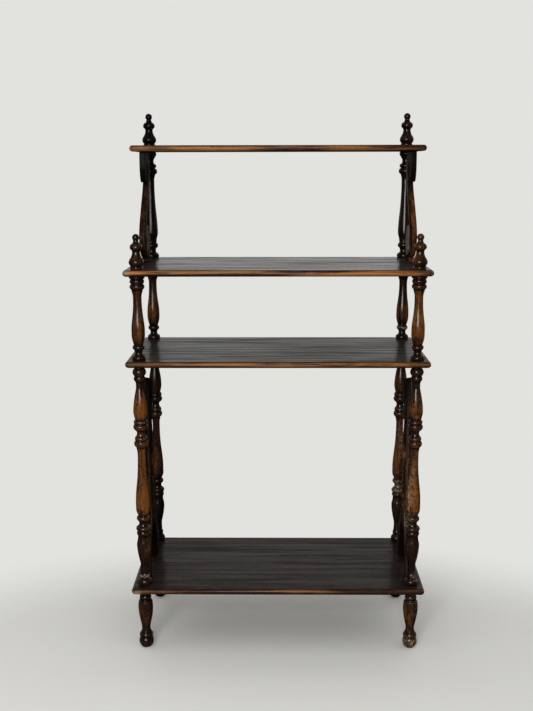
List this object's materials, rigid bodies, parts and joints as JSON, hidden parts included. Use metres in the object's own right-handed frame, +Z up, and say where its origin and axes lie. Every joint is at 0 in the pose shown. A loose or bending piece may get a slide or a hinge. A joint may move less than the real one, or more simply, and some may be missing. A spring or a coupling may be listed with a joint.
{
  "type": "etagere",
  "caption": "Open display stand with turned corner posts and finials, rectangular shelves, open lyre side frets, and S-scroll brackets under a shallower top shelf.",
  "frame": {"origin": "on the floor, midway between the ends of the shelves and between their front and back edges", "axes": "+Z up, front faces -Y, +X to the right as seen from the front"},
  "size_m": [0.686, 0.332, 1.256],
  "materials": {
    "board_wood": "dark stained and varnished board, semi-gloss, worn at the front edges",
    "turned_wood": "dark stained turning with worn warm brown swells, satin",
    "sawn_wood": "dark stained sawn fret, varnished faces",
    "dowel_wood": "plain unfinished dowel"
  },
  "bodies": {
    "root": {"bottom_shelf": "board_wood", "front_left_finial": "turned_wood", "front_left_leg": "turned_wood", "front_left_lower_spindle": "turned_wood", "front_left_middle_spindle": "turned_wood", "front_right_finial": "turned_wood", "front_right_leg": "turned_wood", "front_right_lower_spindle": "turned_wood", "front_right_middle_spindle": "turned_wood", "left_bracket_dowels": "dowel_wood", "left_fret_dowels": "dowel_wood", "left_lyre_fret": "sawn_wood", "left_scroll_bracket": "sawn_wood", "rear_left_finial": "turned_wood", "rear_left_leg": "turned_wood", "rear_left_lower_spindle": "turned_wood", "rear_left_middle_spindle": "turned_wood", "rear_left_upper_spindle": "turned_wood", "rear_right_finial": "turned_wood", "rear_right_leg": "turned_wood", "rear_right_lower_spindle": "turned_wood", "rear_right_middle_spindle": "turned_wood", "rear_right_upper_spindle": "turned_wood", "right_bracket_dowels": "dowel_wood", "right_fret_dowels": "dowel_wood", "right_lyre_fret": "sawn_wood", "right_scroll_bracket": "sawn_wood", "second_shelf": "board_wood", "third_shelf": "board_wood", "top_shelf": "board_wood"}
  },
  "joints": []
}
